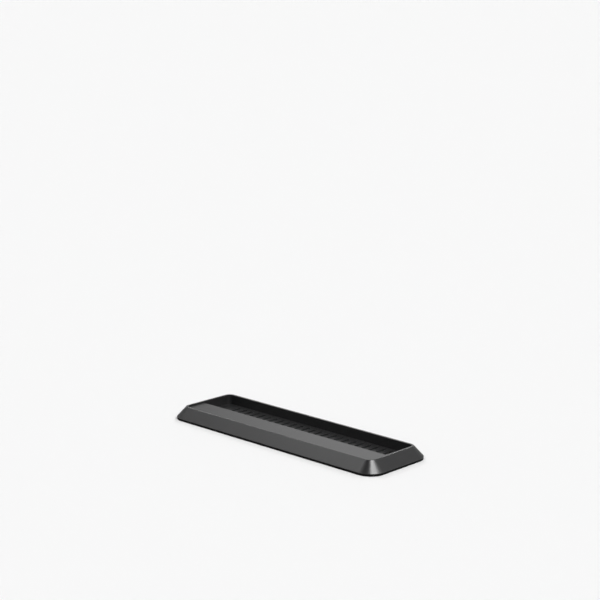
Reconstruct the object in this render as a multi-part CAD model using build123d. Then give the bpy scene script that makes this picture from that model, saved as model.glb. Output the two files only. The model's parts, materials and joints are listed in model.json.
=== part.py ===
from build123d import *

import os
from math import atan, degrees, hypot

# Console vertical stand.
#
# The stand is a low moulded plinth with sloping flanks and cone-shaped corners. Its top is a
# stepped recess: a deep trough along one side, and a shelf along the other. Slots in the
# trough's floor let air through. The plinth is hollow underneath, with ribs, and stands on a
# rubber ring that runs round its lower edge.
#
# X runs across the stand, from the shelf to the trough, Y along it, and Z is up. The origin is
# on the table, under the middle of the stand. Sizes are in millimetres.

# What the recess takes: length, thickness, the thicker half's share, and the step at the end
console_length = 240.0
console_thickness = 60.0
tall_half_thickness = 35.0
half_step = 9.0

# Room left in the recess
side_clearance = 0.6
end_clearance = 5.5
shelf_clearance = 0.6

# Outer form of the plinth
lip_height = 1.6
rim_land = 2.0
flank_run = 9.6
skirt_height = 0.2
recess_corner_radius = 4.6

# Moulded section
wall = 2.0
rib_thickness = 1.4
rib_pitch = 28.0
end_rib_pitch = 14.0
table_gap = 0.8

# Edge roundings
rim_outer_edge = 0.8
rim_inner_edge = 0.5
step_edge = 0.8
skirt_edge = 0.3

# Air slots in the trough's floor
slot_width = 3.4
slot_pitch = 9.0
slot_side_margin = 4.6
slot_end_margin = 14.0

# Rubber ring under the lower edge
ring_height = 2.2
ring_inset = 0.2
ring_width = 5.8

# Plan sizes that follow from what the recess takes
recess_length = console_length + 2 * end_clearance
recess_width = console_thickness + 2 * side_clearance
rim_length = recess_length + 2 * rim_land
rim_width = recess_width + 2 * rim_land
base_length = rim_length + 2 * flank_run
base_width = rim_width + 2 * flank_run
base_corner_radius = recess_corner_radius + rim_land + flank_run

# The trough, from the step to the far wall
trough_far_x = recess_width / 2
trough_step_x = console_thickness / 2 - tall_half_thickness - side_clearance
trough_width = trough_far_x - trough_step_x
trough_x = (trough_far_x + trough_step_x) / 2

# Heights above the table
skirt_top = ring_height + skirt_height
floor_top = table_gap + wall
shelf_top = floor_top + half_step - shelf_clearance
rim_height = shelf_top + lip_height

# The flank's slope, and its inner face one wall thickness in from the outer face
flank_rise = rim_height - skirt_top
flank_slope = flank_run / flank_rise
flank_taper = degrees(atan(flank_slope))
inner_slope_start = skirt_top - wall * (hypot(1, flank_slope) - 1) / flank_slope
inner_slope_rise = rim_height - wall - inner_slope_start


def level(z, sketch):
    """The sketch laid flat at a height."""
    return Plane.XY.offset(z) * sketch


def level_edges(solid, z):
    """The edges of a solid that lie flat at a height."""
    near = 0.001
    return solid.edges().filter_by(Plane.XY).filter_by_position(Axis.Z, z - near, z + near)


def spread(length, pitch):
    """Places at a pitch that fit in a length, even about its middle."""
    count = int(length / pitch)
    return [(i - (count - 1) / 2) * pitch for i in range(count)]


def base_outline(margin):
    """The stand's plan at its lower edge, drawn in by a margin."""
    return RectangleRounded(
        base_width - 2 * margin, base_length - 2 * margin, base_corner_radius - margin
    )


def recess_outline():
    return RectangleRounded(recess_width, recess_length, recess_corner_radius)


def trough_outline():
    """The deep part of the recess, along the +X side."""
    return recess_outline() & Pos(trough_x, 0) * Rectangle(trough_width, recess_length)


def plinth_block():
    """The outer form: a low upright skirt, then flanks that slope in to the rim."""
    skirt = extrude(level(ring_height, base_outline(0)), skirt_height)
    flanks = extrude(level(skirt_top, base_outline(0)), flank_rise, taper=flank_taper)
    block = skirt + flanks
    block = fillet(level_edges(block, rim_height), rim_outer_edge)
    return fillet(level_edges(block, skirt_top), skirt_edge)


def recess_space():
    """The stepped space of the recess, open at the top."""
    shelf_space = extrude(level(shelf_top, recess_outline()), lip_height)
    trough_space = extrude(level(floor_top, trough_outline()), rim_height - floor_top)
    space = shelf_space + trough_space
    step = level_edges(space, shelf_top).sort_by(Axis.X)[-1]
    return fillet(step, step_edge)


def trough_block(height):
    """The trough's floor and walls, filled in, from its underside up."""
    return extrude(level(table_gap, offset(trough_outline(), wall)), height)


def tub():
    """Floor, walls and shelf around the recess, filled in."""
    shelf_block = extrude(level(shelf_top - wall, offset(recess_outline(), wall)), rim_height)
    return trough_block(rim_height) + shelf_block


def ribs():
    """Cross ribs under the shelf and the flanks, and one rib along the shelf's middle.

    They end level with the skirt, so that the ring is held against them too.
    """
    shelf_x = (trough_step_x - wall - recess_width / 2) / 2
    cross = extrude(level(ring_height, Rectangle(base_width, rib_thickness)), rim_height)
    lengthwise = extrude(level(ring_height, Rectangle(rib_thickness, base_length)), rim_height)
    cross_ribs = [Pos(0, y, 0) * cross for y in spread(recess_length, rib_pitch)]
    end_ribs = [Pos(trough_x + x, 0, 0) * lengthwise for x in spread(trough_width, end_rib_pitch)]
    return cross_ribs + end_ribs + [Pos(shelf_x, 0, 0) * lengthwise]


def underside_hollow():
    """The space under the flanks and the shelf, less the ribs that cross it."""
    outline = base_outline(wall)
    upright = extrude(outline, inner_slope_start)
    sloped = extrude(level(inner_slope_start, outline), inner_slope_rise, taper=flank_taper)
    return upright + sloped - tub() - ribs()


def air_slots():
    """Round-ended slots across the trough's floor."""
    slot = SlotOverall(trough_width - 2 * slot_side_margin, slot_width)
    cutter = extrude(level(table_gap, slot), wall)
    places = spread(recess_length - 2 * slot_end_margin, slot_pitch)
    return [Pos(trough_x, y, 0) * cutter for y in places]


def stand_body():
    """The whole moulding."""
    body = plinth_block() + trough_block(floor_top - table_gap) - recess_space()
    rim_face = body.faces().filter_by(Plane.XY).sort_by(Axis.Z)[-1]
    body = fillet(rim_face.inner_wires()[0].edges(), rim_inner_edge)
    return body - underside_hollow() - air_slots()


def base_ring():
    """The rubber ring that the stand rests on, cut square from sheet."""
    outline = base_outline(ring_inset) - base_outline(ring_inset + ring_width)
    return extrude(outline, ring_height)


def main():
    os.makedirs("parts", exist_ok=True)
    export_step(stand_body(), "parts/stand_body.step")
    export_step(base_ring(), "parts/base_ring.step")


if __name__ == "__main__":
    main()
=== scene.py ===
import json
from math import cos, radians, sin

import bpy
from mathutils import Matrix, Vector

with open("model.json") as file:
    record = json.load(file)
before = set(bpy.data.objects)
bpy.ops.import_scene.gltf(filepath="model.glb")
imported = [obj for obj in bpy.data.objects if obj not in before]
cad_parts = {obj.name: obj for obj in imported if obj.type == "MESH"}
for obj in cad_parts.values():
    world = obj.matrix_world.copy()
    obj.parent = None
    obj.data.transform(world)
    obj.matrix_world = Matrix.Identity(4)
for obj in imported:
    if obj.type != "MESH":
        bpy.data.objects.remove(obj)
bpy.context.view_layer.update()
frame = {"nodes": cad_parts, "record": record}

# Console vertical stand: a black moulded plinth on a rubber ring, in a pale studio.
# Lengths are in metres, angles in degrees. An azimuth of 0 is the -Y side, and 90 is the +X side.

# Camera: where it stands round the object, what it aims at, and its lens
CAMERA_AZIMUTH = -45.938
CAMERA_ELEVATION = 17.570
CAMERA_DISTANCE = 1.4648
CAMERA_AIM = (0.00334, -0.00348, 0.13817)
CAMERA_LENS_MM = 88.89
CAMERA_SENSOR_MM = 36.0

# Floor
FLOOR_SIZE = 80.0
FLOOR_COLOR = (0.866, 0.866, 0.866)

# Studio: pale walls that darken towards the ceiling
WALL_LIGHT = 0.270
CEILING_LIGHT = 0.015
WALL_TOP = 22.0
CEILING_START = 74.0

# Softboxes, far away in the studio. Half sizes and blur are tangents, as seen from the object.
SOFTBOXES = {
    # Large box over the front, which the near corner mirrors
    "key": dict(
        azimuth=-2.7, elevation=56.75, roll=-34.8,
        half_width=0.397, half_height=0.164, blur=0.015, strength=10.4,
    ),
    # Long strip behind, which the near long flank mirrors
    "fill": dict(
        azimuth=176.6, elevation=48.6, roll=1.5,
        half_width=0.527, half_height=0.055, blur=0.022, strength=2.98,
    ),
    # Faint glows left and right of the view, which the near corner mirrors beside the key
    "left_glow": dict(
        azimuth=224.0, elevation=49.5, roll=0.0,
        half_width=0.10, half_height=0.08, blur=0.08, strength=0.90,
    ),
    "right_glow": dict(
        azimuth=47.0, elevation=45.0, roll=0.0,
        half_width=0.10, half_height=0.08, blur=0.08, strength=1.00,
    ),
    # Faint glow low behind, which the level faces mirror
    "backdrop": dict(
        azimuth=127.0, elevation=20.0, roll=0.0,
        half_width=0.16, half_height=0.30, blur=0.10, strength=0.60,
    ),
    # Small lamps behind, for the thin shadow along the foot
    "rear_right": dict(
        azimuth=95.5, elevation=36.5, roll=0.0,
        half_width=0.08, half_height=0.05, blur=0.02, strength=38.0,
    ),
    "rear_left": dict(
        azimuth=172.0, elevation=37.0, roll=0.0,
        half_width=0.08, half_height=0.05, blur=0.02, strength=33.0,
    ),
}

# Directions that face away from a softbox get this depth, which puts them far outside it
LEAST_DEPTH = 0.001

# Finish of each material slot: its darkest and lightest colour, its range of roughness, its
# reflection, and its grain
FINISHES = {
    "black_plastic": dict(
        name="satin_black_plastic",
        dark=(0.0222, 0.0222, 0.0228),
        light=(0.0234, 0.0234, 0.0240),
        roughness=(0.282, 0.292),
        specular=0.5,
        ior=1.70,
        grain_per_metre=2600.0,
        grain_height=0.000006,
    ),
    "black_rubber": dict(
        name="black_rubber",
        dark=(0.0065, 0.0065, 0.0065),
        light=(0.0095, 0.0095, 0.0095),
        roughness=(0.82, 0.95),
        specular=0.1,
        ior=1.50,
        grain_per_metre=1500.0,
        grain_height=0.000025,
    ),
}

# Mottling: its noise, and the values of the noise that give the darkest and lightest colour
MOTTLE_PER_METRE = 90.0
MOTTLE_DETAIL = 1.0
MOTTLE_ENDS = (0.3, 0.7)

# Detail of the grain's noise
GRAIN_DETAIL = 2.0


def towards(azimuth, elevation):
    """Unit vector from the object towards a place round it."""
    turn = radians(azimuth)
    rise = radians(elevation)
    return Vector((sin(turn) * cos(rise), -cos(turn) * cos(rise), sin(rise)))


class Nodes:
    """A node tree with short calls that add nodes and link them."""

    def __init__(self, owner):
        owner.use_nodes = True
        self.tree = owner.node_tree
        self.tree.nodes.clear()

    def add(self, kind, inputs=None, **settings):
        """Adds a node. An input is linked if it is a socket, and else set."""
        node = self.tree.nodes.new(kind)
        for name, value in settings.items():
            setattr(node, name, value)
        for name, value in (inputs or {}).items():
            if isinstance(value, bpy.types.NodeSocket):
                self.tree.links.new(value, node.inputs[name])
            else:
                node.inputs[name].default_value = value
        return node

    def math(self, operation, *values):
        node = self.add("ShaderNodeMath", dict(enumerate(values)), operation=operation)
        return node.outputs[0]

    def dot(self, vector, other):
        node = self.add("ShaderNodeVectorMath", {0: vector, 1: other}, operation="DOT_PRODUCT")
        return node.outputs["Value"]

    def ramp(self, value, start, end, low=0.0, high=1.0):
        """Smooth change from low to high as the value goes from start to end."""
        inputs = {"Value": value, "From Min": start, "From Max": end, "To Min": low, "To Max": high}
        node = self.add("ShaderNodeMapRange", inputs, interpolation_type="SMOOTHSTEP")
        return node.outputs["Result"]

    def noise(self, position, scale, detail):
        inputs = {"Vector": position, "Scale": scale, "Detail": detail}
        return self.add("ShaderNodeTexNoise", inputs).outputs["Fac"]

    def mix_colors(self, factor, first, second):
        node = self.add("ShaderNodeMix", data_type="RGBA")
        self.tree.links.new(factor, node.inputs["Factor"])
        sockets = [socket for socket in node.inputs if socket.type == "RGBA"]
        for socket, color in zip(sockets, (first, second)):
            socket.default_value = (*color, 1.0)
        return next(socket for socket in node.outputs if socket.type == "RGBA")


def moulded(name, dark, light, roughness, specular, ior, grain_per_metre, grain_height):
    """A moulded surface: faint mottling of colour and gloss over a fine grain."""
    material = bpy.data.materials.new(name)
    nodes = Nodes(material)
    position = nodes.add("ShaderNodeTexCoord").outputs["Object"]
    mottle = nodes.ramp(nodes.noise(position, MOTTLE_PER_METRE, MOTTLE_DETAIL), *MOTTLE_ENDS)
    grain = nodes.noise(position, grain_per_metre, GRAIN_DETAIL)
    bump = nodes.add("ShaderNodeBump", {"Height": grain, "Distance": grain_height, "Strength": 1.0})
    shader = nodes.add("ShaderNodeBsdfPrincipled", {
        "Base Color": nodes.mix_colors(mottle, dark, light),
        "Roughness": nodes.ramp(mottle, 0.0, 1.0, *roughness),
        "Specular IOR Level": specular,
        "IOR": ior,
        "Normal": bump.outputs["Normal"],
    })
    nodes.add("ShaderNodeOutputMaterial", {"Surface": shader.outputs["BSDF"]})
    return material


def floor_material():
    material = bpy.data.materials.new("floor")
    nodes = Nodes(material)
    shader = nodes.add("ShaderNodeBsdfDiffuse", {"Color": (*FLOOR_COLOR, 1.0)})
    nodes.add("ShaderNodeOutputMaterial", {"Surface": shader.outputs["BSDF"]})
    return material


def softbox(nodes, direction, azimuth, elevation, roll, half_width, half_height, blur, strength):
    """Light that comes from a direction, if a soft-edged rectangle stands there."""
    facing = towards(azimuth, elevation)
    level = towards(azimuth + 90, 0)
    upright = towards(azimuth + 180, 90 - elevation)
    roll_cos = cos(radians(roll))
    roll_sin = sin(radians(roll))
    across = level * roll_cos + upright * roll_sin
    upward = upright * roll_cos - level * roll_sin
    depth = nodes.math("MAXIMUM", nodes.dot(direction, facing), LEAST_DEPTH)
    light = strength
    for axis, half in ((across, half_width), (upward, half_height)):
        place = nodes.math("ABSOLUTE", nodes.math("DIVIDE", nodes.dot(direction, axis), depth))
        light = nodes.math("MULTIPLY", nodes.ramp(place, half + blur, half - blur), light)
    return light


def studio():
    """World light: the walls and the ceiling, with the softboxes added."""
    world = bpy.data.worlds.new("studio")
    bpy.context.scene.world = world
    nodes = Nodes(world)
    direction = nodes.add("ShaderNodeTexCoord").outputs["Generated"]
    height = nodes.dot(direction, (0, 0, 1))
    light = nodes.ramp(
        height, sin(radians(WALL_TOP)), sin(radians(CEILING_START)), WALL_LIGHT, CEILING_LIGHT
    )
    for box in SOFTBOXES.values():
        light = nodes.math("ADD", light, softbox(nodes, direction, **box))
    background = nodes.add("ShaderNodeBackground", {"Color": (1, 1, 1, 1), "Strength": light})
    nodes.add("ShaderNodeOutputWorld", {"Surface": background.outputs["Background"]})


def floor():
    half = FLOOR_SIZE / 2
    corners = [(-half, -half, 0), (half, -half, 0), (half, half, 0), (-half, half, 0)]
    mesh = bpy.data.meshes.new("floor")
    mesh.from_pydata(corners, [], [(0, 1, 2, 3)])
    mesh.materials.append(floor_material())
    ground = bpy.data.objects.new("floor", mesh)
    bpy.context.scene.collection.objects.link(ground)


def camera():
    data = bpy.data.cameras.new("camera")
    data.lens = CAMERA_LENS_MM
    data.sensor_width = CAMERA_SENSOR_MM
    data.clip_end = FLOOR_SIZE
    viewer = bpy.data.objects.new("camera", data)
    viewer.location = towards(CAMERA_AZIMUTH, CAMERA_ELEVATION) * CAMERA_DISTANCE
    sight = Vector(CAMERA_AIM) - viewer.location
    viewer.rotation_euler = sight.to_track_quat("-Z", "Y").to_euler()
    bpy.context.scene.collection.objects.link(viewer)
    bpy.context.scene.camera = viewer


def dress():
    """Gives each CAD node the material of its slot."""
    materials = {slot: moulded(**finish) for slot, finish in FINISHES.items()}
    for part in frame["record"]["subparts"]:
        mesh = frame["nodes"][part["node"]].data
        mesh.materials.clear()
        mesh.materials.append(materials[part["material_slot"]])


dress()
floor()
studio()
camera()
bpy.context.scene.view_settings.view_transform = "Standard"
